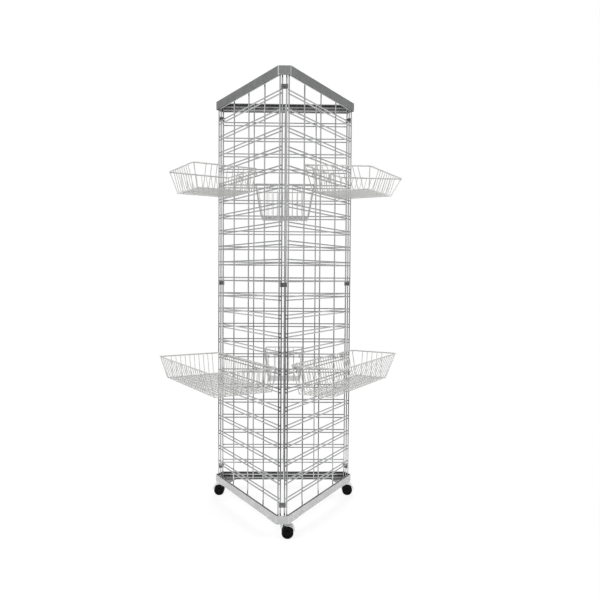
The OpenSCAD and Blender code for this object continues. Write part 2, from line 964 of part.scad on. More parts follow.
wheel(right_castor, axle_right, 0);  // right_near_wheel
wheel(right_castor, axle_right, 1);  // right_far_wheel
basket(left_turn, upper_row, upper_left_lift, upper_left_w, upper_left_depth, upper_left_h,  // upper_left_basket
    upper_left_taper, upper_left_front, upper_left_back, upper_left_standoff,
    upper_left_shift, 0, hook_spread);
basket(right_turn, upper_row, upper_right_lift, upper_right_w, upper_right_depth, upper_right_h,  // upper_right_basket
    upper_right_taper, upper_right_front, upper_right_back, upper_right_standoff,
    -upper_right_shift, upper_right_fall, hook_spread);
basket(back_turn, upper_row, upper_back_lift, upper_back_w, upper_back_depth, upper_back_h,  // upper_back_basket
    upper_back_taper, upper_back_front, upper_back_back, upper_back_standoff,
    0, 0, hook_spread);
basket(left_turn, lower_row, lower_left_lift, lower_left_w, lower_left_depth, lower_left_h,  // lower_left_basket
    lower_left_taper, lower_left_front, lower_left_back, lower_left_standoff,
    lower_left_shift, 0, hook_spread + bay);
basket(right_turn, lower_row, lower_right_lift, lower_right_w, lower_right_depth, lower_right_h,  // lower_right_basket
    lower_right_taper, lower_right_front, lower_right_back, lower_right_standoff,
    -lower_right_shift, 0, hook_spread + bay);
basket(back_turn, lower_row, lower_back_lift, lower_back_w, lower_back_depth, lower_back_h,  // lower_back_basket
    lower_back_taper, lower_back_front, lower_back_back, lower_back_standoff,
    0, 0, hook_spread);
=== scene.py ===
# %% [markdown]
# # A three-sided slat grid display tower
# The tower is welded wire between two folded sheet frames, on castors, with wire baskets hung on its faces.
# The solids come from the CAD model, already in place and in metres. They could be modelled again here, but
# the CAD shapes are exact. So this file gives them their finishes, adds the weld beads, puts pan head screws
# in place of plain ones, and sets the studio and the camera.

import json
import math

import bmesh
import bpy
from mathutils import Matrix, Vector


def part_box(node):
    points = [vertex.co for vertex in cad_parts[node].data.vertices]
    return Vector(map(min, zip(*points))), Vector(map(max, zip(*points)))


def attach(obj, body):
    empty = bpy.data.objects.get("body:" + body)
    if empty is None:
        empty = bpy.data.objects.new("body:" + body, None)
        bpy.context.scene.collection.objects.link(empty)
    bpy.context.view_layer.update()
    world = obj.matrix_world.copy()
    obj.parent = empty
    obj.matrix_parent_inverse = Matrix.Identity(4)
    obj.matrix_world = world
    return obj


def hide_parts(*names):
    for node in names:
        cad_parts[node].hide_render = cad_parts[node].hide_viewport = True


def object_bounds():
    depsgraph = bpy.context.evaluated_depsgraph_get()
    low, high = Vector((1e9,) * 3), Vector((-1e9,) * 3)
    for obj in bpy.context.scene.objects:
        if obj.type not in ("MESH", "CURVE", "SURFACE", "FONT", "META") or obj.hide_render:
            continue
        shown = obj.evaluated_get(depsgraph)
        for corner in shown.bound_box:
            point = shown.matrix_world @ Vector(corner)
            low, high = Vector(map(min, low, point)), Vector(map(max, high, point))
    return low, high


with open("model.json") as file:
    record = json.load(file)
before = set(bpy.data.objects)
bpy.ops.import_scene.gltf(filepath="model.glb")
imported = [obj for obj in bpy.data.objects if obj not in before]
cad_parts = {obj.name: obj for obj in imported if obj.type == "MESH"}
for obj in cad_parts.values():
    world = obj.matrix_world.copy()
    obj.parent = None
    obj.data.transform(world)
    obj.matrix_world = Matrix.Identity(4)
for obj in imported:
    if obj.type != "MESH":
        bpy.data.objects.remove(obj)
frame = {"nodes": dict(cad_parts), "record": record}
nodes = frame["nodes"]
cad_low, cad_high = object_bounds()
MM = 0.001
print("nodes:", len(nodes), "height in metres:", round(cad_high.z - cad_low.z, 3))

# %% [markdown]
# ## Helpers for every finish
# A colour is written as a screen hex value, as a designer would pick it, and turned to the linear values that
# the shader works in. A finish could be set up node by node in full, but that is long and hard to read. So
# one function adds a node, sets its values and links its inputs, and a finish reads as a list. The settings
# that come back often have plain names.

# %% Colour and node helpers
LARGER = {"operation": "MAXIMUM"}
PRODUCT = {"operation": "MULTIPLY"}
WITHOUT_SIGN = {"operation": "ABSOLUTE"}
ALIGNMENT = {"operation": "DOT_PRODUCT"}
SOFT_EDGED = {"interpolation_type": "SMOOTHSTEP"}
OF_COLOURS = {"data_type": "RGBA"}


def linear(hex_value):
    """A colour written as #rrggbb, as linear red, green, blue and alpha."""
    parts = [int(hex_value[i:i + 2], 16) / 255 for i in (1, 3, 5)]
    return [c / 12.92 if c <= 0.04045 else ((c + 0.055) / 1.055) ** 2.4 for c in parts] + [1.0]


def add(tree, kind, settings=None, **inputs):
    """Adds a node. An input goes by its name, with _ for a space, or by its number, as i0 or i1."""
    made = tree.nodes.new("ShaderNode" + kind)
    for key, value in (settings or {}).items():
        setattr(made, key, value)
    for key, value in inputs.items():
        numbered = key[0] == "i" and key[1:].isdigit()
        target = made.inputs[int(key[1:]) if numbered else key.replace("_", " ")]
        if isinstance(value, bpy.types.NodeSocket):
            tree.links.new(value, target)
        else:
            target.default_value = value
    return made


def finish_named(name, **constants):
    """A new material, with the values that are the same all over set on its shader."""
    material = bpy.data.materials.new(name)
    material.use_nodes = True
    shader = material.node_tree.nodes["Principled BSDF"]
    for key, value in constants.items():
        shader.inputs[key.replace("_", " ")].default_value = value
    return material, material.node_tree, shader


print("a mid grey in linear values:", [round(c, 3) for c in linear("#808080")[:3]])

# %% [markdown]
# ## Bright chrome-plated wire
# The panels are drawn steel wire, spot welded and then chrome plated. Plating gives a mirror that is a little
# uneven: the drawn wire under it shows as faint cloudy changes of gloss about a centimetre long. A plain grey
# metal would look like plastic here, so one noise moves both the colour and the roughness a little. A metal
# keeps the default IOR. The finishes with a fine grain, further on, use the same function with a relief.

# %% Chrome finishes
CLOUD_DETAIL = 3.0
TONES_FROM, TONES_TO = 0.3, 0.7  # the noise seldom leaves this range
RELIEF_STRENGTH = 0.3


def clouded(name, pale, dull, cloud_mm, rough, relief_mm=None, **constants):
    """A finish whose colour and roughness drift with one noise, which can also be a relief."""
    material, tree, shader = finish_named(name, **constants)
    place = add(tree, "TexCoord")
    clouds = add(tree, "TexNoise", Vector=place.outputs["Object"], Scale=1 / (cloud_mm * MM),
                 Detail=CLOUD_DETAIL)
    gloss = add(tree, "MapRange", Value=clouds.outputs["Fac"], To_Min=rough[0], To_Max=rough[1])
    tone = add(tree, "MapRange", Value=clouds.outputs["Fac"], From_Min=TONES_FROM, From_Max=TONES_TO)
    tint = add(tree, "Mix", OF_COLOURS, i0=tone.outputs["Result"], i6=linear(dull), i7=linear(pale))
    tree.links.new(gloss.outputs["Result"], shader.inputs["Roughness"])
    tree.links.new(tint.outputs[2], shader.inputs["Base Color"])
    if relief_mm:
        relief = add(tree, "Bump", Height=clouds.outputs["Fac"], Strength=RELIEF_STRENGTH,
                     Distance=relief_mm * MM)
        tree.links.new(relief.outputs["Normal"], shader.inputs["Normal"])
    return material


# Chrome on drawn wire: a cloudy mirror, white and dark by turns as it faces the wall or the room
panel_chrome = clouded("bright_chrome_plated_wire", "#d6d7d7", "#c6c7c7", cloud_mm=9, rough=(0.12, 0.22),
                       Metallic=1.0)
# Chrome on pressed sheet, which is smoother than wire: a clearer mirror with wider clouds
hood_chrome = clouded("bright_plated_castor_hood", "#d6d8da", "#c6c9cc", cloud_mm=14, rough=(0.10, 0.18),
                      Metallic=1.0)
print("chrome finishes:", panel_chrome.name, hood_chrome.name)

# %% [markdown]
# ## Where shade is painted, and where the coat is rubbed
# The two frames are folded from sheet steel and sprayed. The inner faces of the web stand in shade, and that
# shade is painted into their colour. Those are the faces whose normal points back to the tower's axis. The
# folds are rubbed bright, and they face along three lines 60 degrees apart. Both could be painted by hand on a
# texture, but the normal tells these faces apart, so two masks read it.

# %% Masks of the sheet
INNER_FROM, INNER_TO = -0.02, -0.10  # metres from the axis along the normal, negative where it points back
FOLD_FROM, FOLD_TO = 0.95, 0.985     # how nearly a face points along a fold's line
FOLD_LINES = (0, 60, 120)            # degrees about the axis


def shaded_inner_faces(tree, face):
    """1 on the faces that look back to the axis, where shade is painted, 0 on the others."""
    outwards = add(tree, "VectorMath", PRODUCT, i0=face.outputs["Position"], i1=(1, 1, 0))
    facing = add(tree, "VectorMath", ALIGNMENT, i0=face.outputs["Normal"], i1=outwards.outputs["Vector"])
    return add(tree, "MapRange", Value=facing.outputs["Value"], From_Min=INNER_FROM, From_Max=INNER_TO)


def rubbed_folds(tree, face, inside, rubbed):
    """The share of bare metal on the outer folds, 0 elsewhere."""
    nearest = 0.0
    for turn in map(math.radians, FOLD_LINES):
        line = (math.cos(turn), math.sin(turn), 0)
        along = add(tree, "VectorMath", ALIGNMENT, i0=face.outputs["Normal"], i1=line)
        either_way = add(tree, "Math", WITHOUT_SIGN, i0=along.outputs["Value"])
        nearest = add(tree, "Math", LARGER, i0=nearest, i1=either_way.outputs[0]).outputs[0]
    worn = add(tree, "MapRange", Value=nearest, From_Min=FOLD_FROM, From_Max=FOLD_TO, To_Max=rubbed)
    return add(tree, "Math", {"operation": "SUBTRACT", "use_clamp": True}, i0=worn.outputs["Result"],
               i1=inside.outputs["Result"])


print("folds face along", FOLD_LINES, "degrees")

# %% [markdown]
# ## Satin coated sheet
# The coat is a satin grey with fine metal flake in it, so a face is part paint and part soft mirror. The two
# frames share this coat, and the base is painted paler than the top: painted light on the base and painted
# shade on the top. The inner faces are painted darker as shade, most on the base, and they mirror less. The top
# is rubbed most, where hands hold it. Rolling leaves fine lines along the sheet under the coat. They are about
# 0.2 mm apart, too fine to show here, so they are drawn 1.5 mm apart, as a noise that is stretched along the
# sheet. Long streaks of an image would do the same, but a noise needs no file.

# %% Satin sheet finishes
LINE_MM, LINE_DEPTH_MM = 1.5, 0.05
LINE_DETAIL, LINE_STRENGTH = 4.0, 0.15
ALONG_SHEET = (0.02, 0.02, 1.0)        # the lines are 50 times as long as they are wide
DRIFT_MM, DRIFT_DETAIL = 60, 2.0       # slow changes of the sprayed tone
# the inner faces get a smaller mirror share, as part of their painted shade
OUTER_FLAKE, SHADED_INNER_MIRROR = 0.55, 0.15  # the mirror's share of a face
BARE_STEEL, BARE_ROUGHNESS = "#e4e5e6", 0.2


def satin_sheet(name, pale, dull, inner_shade, rubbed, rough):
    """Sprayed sheet: a drifting outer tone, painted shade on the inner faces and bare folds, over fine rolling
    lines.
    """
    material, tree, shader = finish_named(name)
    place = add(tree, "TexCoord")
    along = add(tree, "Mapping", Vector=place.outputs["Object"], Scale=ALONG_SHEET)
    lines = add(tree, "TexNoise", Vector=along.outputs["Vector"], Scale=1 / (LINE_MM * MM),
                Detail=LINE_DETAIL)
    drift = add(tree, "TexNoise", Vector=place.outputs["Object"], Scale=1 / (DRIFT_MM * MM),
                Detail=DRIFT_DETAIL)
    tone = add(tree, "MapRange", Value=drift.outputs["Fac"], From_Min=TONES_FROM, From_Max=TONES_TO)
    outer = add(tree, "Mix", OF_COLOURS, i0=tone.outputs["Result"], i6=linear(dull), i7=linear(pale))
    face = add(tree, "NewGeometry")
    # painted shade: the inner faces get a darker colour and less mirror
    inside = shaded_inner_faces(tree, face)
    worn = rubbed_folds(tree, face, inside, rubbed)
    coat_and_shade = add(tree, "Mix", OF_COLOURS, i0=inside.outputs["Result"], i6=outer.outputs[2], i7=linear(inner_shade))
    colour = add(tree, "Mix", OF_COLOURS, i0=worn.outputs[0], i6=coat_and_shade.outputs[2], i7=linear(BARE_STEEL))
    flake_and_shade = add(tree, "MapRange", Value=inside.outputs["Result"], To_Min=OUTER_FLAKE, To_Max=SHADED_INNER_MIRROR)
    metal = add(tree, "Math", LARGER, i0=flake_and_shade.outputs["Result"], i1=worn.outputs[0])
    satin = add(tree, "MapRange", Value=lines.outputs["Fac"], To_Min=rough[0], To_Max=rough[1])
    gloss = add(tree, "Mix", i0=worn.outputs[0], i2=satin.outputs["Result"], i3=BARE_ROUGHNESS)
    relief = add(tree, "Bump", Height=lines.outputs["Fac"], Strength=LINE_STRENGTH,
                 Distance=LINE_DEPTH_MM * MM)
    tree.links.new(gloss.outputs[0], shader.inputs["Roughness"])
    tree.links.new(colour.outputs[2], shader.inputs["Base Color"])
    tree.links.new(metal.outputs[0], shader.inputs["Metallic"])
    tree.links.new(relief.outputs["Normal"], shader.inputs["Normal"])
    return material


# Sprayed steel on the top: a mid grey sheen that holds painted shade, with bright folds
top_sheet = satin_sheet("satin_coated_sheet_painted_shade", "#888989", "#7c7d7d", inner_shade="#7a7a78", rubbed=1.0,
                        rough=(0.32, 0.44))
# Sprayed steel on the base: a pale sheen that holds painted light, with painted shade on the inner faces
base_sheet = satin_sheet("satin_coated_sheet_painted_light_and_shade", "#c3c4c3", "#b6b7b6", inner_shade="#4e4e4c", rubbed=0.3,
                         rough=(0.34, 0.46))
print("sheet finishes:", top_sheet.name, base_sheet.name)

# %% [markdown]
# ## Coated basket wire, fasteners, clips and wheels
# The baskets are dipped in light grey epoxy with fine metal flake in it. Screws and stems are zinc plated.
# The clips are pressed steel with a dark plated coat, and the wheels and axle caps are moulded black nylon.
# Each could have nodes of its own, but all four have a skin of fine grain, so they share the clouded finish,
# now with a relief. The real grain is 0.1 to 0.3 mm, too fine to show here, so it is drawn 1 to 1.6 mm wide.

# %% Epoxy, zinc, dark steel and nylon finishes
# Zinc from a plating bath: a cool grey metal with a soft grain
zinc = clouded("zinc_plated_turned_steel", "#b9bcbf", "#9fa2a5", cloud_mm=1.2, rough=(0.28, 0.42),
               relief_mm=0.05, Metallic=1.0)
# Pressed and dark plated steel: a duller, darker metal, half matt
dark_steel = clouded("dark_plated_pressed_steel", "#9c9c9a", "#81817f", cloud_mm=1.5, rough=(0.38, 0.52),
                     relief_mm=0.05, Metallic=1.0)
# Moulded nylon: nearly black, with a gloss that the mould's grain breaks up
nylon = clouded("black_moulded_nylon", "#080808", "#040404", cloud_mm=1.0, rough=(0.50, 0.62),
                relief_mm=0.06, IOR=1.53, Specular_IOR_Level=0.12)
# Dipped epoxy: half paint and half metal, softer and lighter than chrome, with a slight orange-peel skin
epoxy = clouded("light_grey_epoxy_coated_wire", "#cfcfcd", "#bfbfbd", cloud_mm=1.6, rough=(0.36, 0.48),
                relief_mm=0.05, Metallic=0.45)
print("other finishes:", zinc.name, dark_steel.name, nylon.name, epoxy.name)

# %% [markdown]
# ## Who wears what
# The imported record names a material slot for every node. Each node could be given its finish by hand, but one
# table from slot to finish is enough. A node that is added to the model later is then finished too, or stops
# the script here if its slot is new.

# %% Give every node its finish
finish_of_slot = {
    "panel_chrome": panel_chrome,
    "basket_wire": epoxy,
    "top_sheet": top_sheet,
    "base_sheet": base_sheet,
    "dark_steel": dark_steel,
    "zinc_steel": zinc,
    "castor_chrome": hood_chrome,
    "wheel_black": nylon,
}
slot_of_node = {entry["node"]: entry["material_slot"] for entry in frame["record"]["subparts"]}
for name, solid in nodes.items():
    solid.data.materials.clear()
    solid.data.materials.append(finish_of_slot[slot_of_node[name]])
print("finished nodes:", len(nodes))

# %% [markdown]
# ## Welds
# Where a slat wire crosses an upright, the two were pressed together under current. A little steel is
# squeezed out and freezes round the contact as a thin flash. It could be a bump in the finish, but a bump
# can't bridge two wires, so each flash is a small flattened bead in the gap between them.

# %% Panel sizes that the welds need
PANEL_W = 609.6    # mm between the middles of the edge uprights
COLUMNS = 5        # uprights on the inner side of a panel
ROWS = 25          # pairs of slat wires
PITCH = 76.2       # mm from one pair to the next
PAIR_GAP = 14.8    # mm between the wires of a pair
WIRE = 6.0         # mm across a wire
LAYER = 5.6        # mm between the middles of two wires that cross
UPRIGHT_END = 12   # mm that the uprights stand above the middle of the highest slat wire
PANEL_TURNS = {"left_panel": 120, "right_panel": 240, "back_panel": 0}
panel_low, panel_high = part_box("back_panel")
inner_wire = panel_low.y / MM + WIRE / 2
top_slat = panel_high.z / MM - UPRIGHT_END
print("inner uprights stand", round(inner_wire, 2), "mm from the axis, top slat at", round(top_slat, 1), "mm")

# %% [markdown]
# A weld bead is widest between the wires and thins out along them. It could be cut from the wires' own
# surfaces, but at under 7 mm across a low sphere with few faces, squashed to a lens, looks the same.

# %% One weld bead
BEAD_HALF, BEAD_HALF_DEPTH = 3.3, 1.0  # mm
BEAD_SEGMENTS, BEAD_RINGS = 10, 6


def bead_form():
    """Corners and faces of one bead."""
    form = bmesh.new()
    bmesh.ops.create_uvsphere(form, u_segments=BEAD_SEGMENTS, v_segments=BEAD_RINGS, radius=1.0)
    half_sizes = (BEAD_HALF * MM, BEAD_HALF_DEPTH * MM, BEAD_HALF * MM)
    bmesh.ops.scale(form, vec=half_sizes, verts=form.verts)
    points = [corner.co.copy() for corner in form.verts]
    # Blender lists these faces in another order at each run, so they are sorted
    faces = sorted([corner.index for corner in face.verts] for face in form.faces)
    form.free()
    return points, faces


bead = bead_form()
print("corners of a bead:", len(bead[0]), "faces:", len(bead[1]))

# %% [markdown]
# The beads' places follow the grid: every slat wire meets five uprights on its inner side, and one more at
# each edge on its outer side. Each bead could be an object of its own, but a panel's beads are easier to
# handle as one mesh. So one form is copied to a list of places, each of them a matrix, and the copies are
# joined as they are made.

# %% Weld beads
def object_from(name, points, faces):
    """A new object in the scene, from its corners and faces."""
    data = bpy.data.meshes.new(name)
    data.from_pydata(points, [], faces)
    made = bpy.data.objects.new(name, data)
    bpy.context.scene.collection.objects.link(made)
    return made


def copies(points, faces, places):
    """Corners and faces of one form at every place."""
    all_points, all_faces = [], []
    for place in places:
        first = len(all_points)
        all_points += [place @ point for point in points]
        all_faces += [[first + corner for corner in face] for face in faces]
    return all_points, all_faces


def bead_places(turn):
    """Where a panel's beads sit: those of the back panel, turned about the axis."""
    about_axis = Matrix.Rotation(math.radians(turn), 4, "Z")
    spots = [(column / (COLUMNS - 1) - 0.5, LAYER / 2) for column in range(COLUMNS)]
    spots += [(edge, LAYER * 3 / 2) for edge in (-0.5, 0.5)]
    for row in range(ROWS):
        for drop in (0, PAIR_GAP):
            height = top_slat - row * PITCH - drop
            for share, depth in spots:
                middle = Vector((share * PANEL_W, inner_wire + depth, height)) * MM
                yield about_axis @ Matrix.Translation(middle)


for panel, turn in PANEL_TURNS.items():
    piece = object_from(panel + "_welds", *copies(*bead, bead_places(turn)))
    piece.data.shade_smooth()
    piece.data.materials.append(panel_chrome)
    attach(piece, "rack")
    print(piece.name, "faces:", len(piece.data.polygons))

# %% [markdown]
# ## Screws
# The clips and hold-downs are held by small pan head screws with a cross recess. The CAD screws are plain
# discs on pins, so these screws take their places and stay inside their outlines. The places could be typed
# here again, but then a change in the CAD would leave the screws behind. So the CAD screws are found in their
# nodes: the corners that hang together are one screw.

# %% Find the CAD screws
SAME_DECIMALS = 6  # corners that agree to this many decimals of a metre are one


def loose_parts(mesh):
    """Groups a mesh's corners by what hangs together, where faces that only touch count as joined."""
    spots = [tuple(round(c, SAME_DECIMALS) for c in vertex.co) for vertex in mesh.vertices]
    owner = {spot: spot for spot in spots}

    def root(spot):
        while owner[spot] != spot:
            owner[spot] = owner[owner[spot]]
            spot = owner[spot]
        return spot

    for edge in mesh.edges:
        owner[root(spots[edge.vertices[0]])] = root(spots[edge.vertices[1]])
    parts = {}
    for spot in owner:
        parts.setdefault(root(spot), []).append(Vector(spot))
    return list(parts.values())


found = {node: loose_parts(nodes[node].data) for node in ("clip_screws", "hold_down_screws")}
print("CAD screws:", {node: len(parts) for node, parts in found.items()})

# %% [markdown]
# Each CAD screw is measured for its middle line, its seat, its head and its shank, along its axis. The axis
# could be fitted to the corners, but the way that the screws are driven already gives it: a clip screw's head
# faces away from the tower's axis, and a hold-down screw's head faces the inside of the tower.

# %% Measure the CAD screws
TIP_BAND = 0.1 * MM  # corners this close to the tip belong to the shank's end


def measured(points, axis):
    """Middle line, seat, head and shank of one CAD screw, along its axis from shank to head."""
    low = Vector([min(point[i] for point in points) for i in range(3)])
    high = Vector([max(point[i] for point in points) for i in range(3)])
    centre = (low + high) / 2
    centre -= axis * centre.dot(axis)
    heights = [point.dot(axis) for point in points]
    widths = [(point - centre - axis * point.dot(axis)).length for point in points]
    tip, top, head = min(heights), max(heights), max(widths)
    shank = max(w for w, h in zip(widths, heights) if h < tip + TIP_BAND)
    seat = min(h for w, h in zip(widths, heights) if w > (head + shank) / 2)
    return {"centre": centre, "axis": axis, "seat": seat, "head": head, "rise": top - seat,
            "shank": shank, "reach": seat - tip}


def from_the_axis(middle):
    """Level, away from the tower's axis."""
    return Vector((middle.x, middle.y, 0)).normalized()


def into_the_tower(middle):
    """Up in the lower half of the tower, down in the upper half."""
    return Vector((0, 0, 1 if middle.z < (cad_low.z + cad_high.z) / 2 else -1))


screws_of = {}
for node, head_faces in (("clip_screws", from_the_axis), ("hold_down_screws", into_the_tower)):
    screws_of[node] = [measured(part, head_faces(sum(part, Vector()) / len(part))) for part in found[node]]
    print(node, "head in mm:", round(screws_of[node][0]["head"] * 2 / MM, 1))

# %% [markdown]
# A pan head is cold formed: a die swells the head, and a punch presses the cross. The form is made in the
# same two steps. A profile is lathed to a blank, and a tapered cross is taken out of it. The recess could be
# built into the mesh by hand, but the round rim and the cross would then need many faces fitted together.

# %% Blank and punch
SIDES = 28
CROSS_REACH, CROSS_HALF = 0.54, 0.13  # shares of the head's radius
CROSS_FLOOR, CROSS_OVER = 0.4, 1.2    # shares of the head's rise
CROSS_TAPER = 0.5                     # the floor's share of the width at the top


def lathed(rings):
    """A closed form from rings of a radius and a height, from the lowest up."""
    turns = [math.tau * k / SIDES for k in range(SIDES)]
    points = [(0, 0, rings[0][1])]
    for radius, height in rings:
        points += [(radius * math.cos(turn), radius * math.sin(turn), height) for turn in turns]
    points.append((0, 0, rings[-1][1]))
    faces = [(0, 1 + (k + 1) % SIDES, 1 + k) for k in range(SIDES)]
    for ring in range(len(rings) - 1):
        a, b = 1 + ring * SIDES, 1 + (ring + 1) * SIDES
        faces += [(a + k, a + (k + 1) % SIDES, b + (k + 1) % SIDES, b + k) for k in range(SIDES)]
    last = 1 + (len(rings) - 1) * SIDES
    faces += [(last + k, last + (k + 1) % SIDES, len(points) - 1) for k in range(SIDES)]
    return points, faces


def cross_punch(size):
    """A tapered cross, from the floor of the recess to just above the head."""
    a, b = CROSS_REACH * size["head"], CROSS_HALF * size["head"]
    plus = [(a, -b), (a, b), (b, b), (b, a), (-b, a), (-b, b),
            (-a, b), (-a, -b), (-b, -b), (-b, -a), (b, -a), (b, -b)]
    points = [(x * CROSS_TAPER, y * CROSS_TAPER, CROSS_FLOOR * size["rise"]) for x, y in plus]
    points += [(x, y, CROSS_OVER * size["rise"]) for x, y in plus]
    count = len(plus)
    faces = [list(range(count))[::-1], list(range(count, 2 * count))]
    faces += [(k, (k + 1) % count, count + (k + 1) % count, count + k) for k in range(count)]
    return points, faces


print("faces of a punch:", len(cross_punch(screws_of["clip_screws"][0])[1]))

# %% [markdown]
# The blank's profile runs from the tip of the shank over the seat to the top of the head, which is straight
# at the rim and then rounds off. A boolean takes the punch out of the blank. It could stay on the piece as a
# modifier, but the result is copied many times, so it is worked out once.

# %% Form one pan head screw
TIP_RADIUS, TIP_LENGTH = 0.8, 0.2  # shares of the shank's radius
HEAD_PROFILE = ((1, 0), (1, 0.45), (0.96, 0.65), (0.86, 0.83), (0.7, 0.95), (0.5, 1))  # of radius and rise


def screw_form(size):
    """Corners and faces of one screw that stands on its seat, with its head up."""
    shank, reach = size["shank"], size["reach"]
    rings = [(TIP_RADIUS * shank, -reach), (shank, TIP_LENGTH * shank - reach), (shank, 0)]
    rings += [(wide * size["head"], tall * size["rise"]) for wide, tall in HEAD_PROFILE]
    blank = object_from("screw_blank", *lathed(rings))
    punch = object_from("cross_punch", *cross_punch(size))
    pressed = blank.modifiers.new("cross", "BOOLEAN")
    pressed.operation, pressed.solver, pressed.object = "DIFFERENCE", "EXACT", punch
    formed = bpy.data.meshes.new_from_object(blank.evaluated_get(bpy.context.evaluated_depsgraph_get()))
    points = [vertex.co.copy() for vertex in formed.vertices]
    faces = [list(face.vertices) for face in formed.polygons]
    for helper in (blank, punch):
        bpy.data.objects.remove(helper)
    bpy.data.meshes.remove(formed)
    return points, faces


form_of = {node: screw_form(screws[0]) for node, screws in screws_of.items()}
print("faces of one screw:", {node: len(faces) for node, (points, faces) in form_of.items()})

# %% [markdown]
# The screws of a set are alike, so the first one's form goes to every place. Screws end up at any angle when
# they are driven, so each is turned further than the one before, by a step that gives each its own angle. A
# random turn would do as well, but a fixed step gives the same picture each time.

# %% Set the screws
TURN_STEP = math.radians(137.5)
SHARP_EDGE = math.radians(35)  # a steeper edge than this isn't shaded smooth


def screw_places(screws):
    """Where each screw's seat is, turned to its axis."""
    for count, size in enumerate(screws):
        seat = Matrix.Translation(size["centre"] + size["axis"] * size["seat"])
        upright = size["axis"].to_track_quat("Z", "Y").to_matrix().to_4x4()
        yield seat @ upright @ Matrix.Rotation(count * TURN_STEP, 4, "Z")


for node, screws in screws_of.items():
    piece = object_from("pan_head_" + node, *copies(*form_of[node], screw_places(screws)))
    piece.data.shade_smooth()
    piece.data.set_sharp_from_angle(angle=SHARP_EDGE)
    piece.data.materials.append(zinc)
    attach(piece, "rack")
    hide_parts(node)
    print(piece.name, "faces:", len(piece.data.polygons))

# %% [markdown]
# ## Floor
# The tower stands on a plain pale floor, which runs so far that no view shows its edge. A backdrop that
# curves up would hide the edge too, but only from the front. The floor isn't part of the tower.

# %% Floor
FLOOR_SIZE = 60  # metres
bpy.ops.mesh.primitive_plane_add(size=FLOOR_SIZE, location=(0, 0, 0))
floor = bpy.context.object
floor.name = "pale_floor"
print("floor:", floor.name, "metres wide:", round(floor.dimensions.x))

# %% [markdown]
# The floor is matt white paint. Seen by the camera or in a reflection it is lifted towards white, so that it
# meets the white background with no edge. Under and round the tower part of it stays plain paint, which takes
# the shadow. In reflections it dims towards the camera, where the lit part of the studio ends. A bigger lamp
# could bleach the floor instead, but it would bleach the tower too.

# %% Floor paint
# From: where a change starts and ends. To: its two values, which are 0 and 1 where they aren't given
LIFTED = {"From_Min": 0.5, "From_Max": 1.6, "To_Min": 0.8}        # by metres from the axis
LIT_PART = {"From_Min": -1.0, "From_Max": -0.35, "To_Min": 0.1}   # by metres, negative towards the camera
floor_paint = bpy.data.materials.new("matt_white_floor")
floor_paint.use_nodes = True
tree = floor_paint.node_tree
tree.nodes.clear()
ray = add(tree, "LightPath")
seen = ray.outputs["Is Camera Ray"]
for kind in ("Is Glossy Ray", "Is Transmission Ray"):
    seen = add(tree, "Math", LARGER, i0=seen, i1=ray.outputs[kind]).outputs[0]
spot = add(tree, "TexCoord")
reach = add(tree, "VectorMath", {"operation": "LENGTH"}, i0=spot.outputs["Object"])
lift = add(tree, "MapRange", SOFT_EDGED, Value=reach.outputs["Value"], **LIFTED)
share = add(tree, "Math", PRODUCT, i0=seen, i1=lift.outputs["Result"])
sides = add(tree, "SeparateXYZ", Vector=spot.outputs["Object"])
lit_part = add(tree, "MapRange", SOFT_EDGED, Value=sides.outputs["Y"], **LIT_PART)
glow = add(tree, "Math", LARGER, i0=lit_part.outputs["Result"], i1=ray.outputs["Is Camera Ray"])
paint = add(tree, "BsdfDiffuse", Color=linear("#f4f4f4"))
white = add(tree, "Emission", Color=linear("#ffffff"), Strength=glow.outputs[0])
mixed = add(tree, "MixShader", i0=share.outputs[0], i1=paint.outputs[0], i2=white.outputs[0])
add(tree, "OutputMaterial", Surface=mixed.outputs[0])
floor.data.materials.append(floor_paint)
print("floor finish:", floor_paint.name)

# %% [markdown]
# ## World
# The background is white to the camera. Bright wire shows its form only where it has something dark to
# mirror. So in a reflection the white is kept for the wall behind the tower. A soft light hangs overhead, a
# dimmer one fills the room behind the camera from just below level up, and a tall strip light at the left
# draws the bright line on the top frame's left fold. The sides are grey, and what is left, low down and
# between the lights, is nearly black, as it is in a studio. Black cards round the set would do the same.

# %% What the tower mirrors
# From: where along a direction an area starts and is full. To: its dimmest and its brightest
SIDE_WALLS = {"From_Min": 0.45, "From_Max": 0.95, "To_Min": 0.08, "To_Max": 0.42}
BACK_WALL = {"From_Min": 0.6, "From_Max": 0.9}
OVERHEAD = {"From_Min": 0.55, "From_Max": 0.9, "To_Max": 0.8}
FRONT_BOX = {"From_Min": -0.2, "From_Max": -0.8, "To_Max": 0.6}
KEY_STRIP = {"From_Min": 0.91, "From_Max": 0.96, "To_Max": 1.6}
FROM_LEVEL_UP = {"From_Min": -0.18, "From_Max": 0.08}
STRIP_SIDE = (-0.87, -0.5, 0)  # left and a little to the front
world = bpy.data.worlds.new("white_studio")
bpy.context.scene.world = world
world.use_nodes = True
tree = world.node_tree
tree.nodes.clear()
look = add(tree, "TexCoord")
axes = add(tree, "SeparateXYZ", Vector=look.outputs["Generated"])
side = add(tree, "Math", WITHOUT_SIGN, i0=axes.outputs["X"])
side_walls = add(tree, "MapRange", SOFT_EDGED, Value=side.outputs[0], **SIDE_WALLS)
back_wall = add(tree, "MapRange", SOFT_EDGED, Value=axes.outputs["Y"], **BACK_WALL)
overhead = add(tree, "MapRange", SOFT_EDGED, Value=axes.outputs["Z"], **OVERHEAD)
above = add(tree, "MapRange", SOFT_EDGED, Value=axes.outputs["Z"], **FROM_LEVEL_UP)
front = add(tree, "MapRange", SOFT_EDGED, Value=axes.outputs["Y"], **FRONT_BOX)
front_box = add(tree, "Math", PRODUCT, i0=front.outputs[0], i1=above.outputs[0])
to_strip = add(tree, "VectorMath", ALIGNMENT, i0=look.outputs["Generated"], i1=STRIP_SIDE)
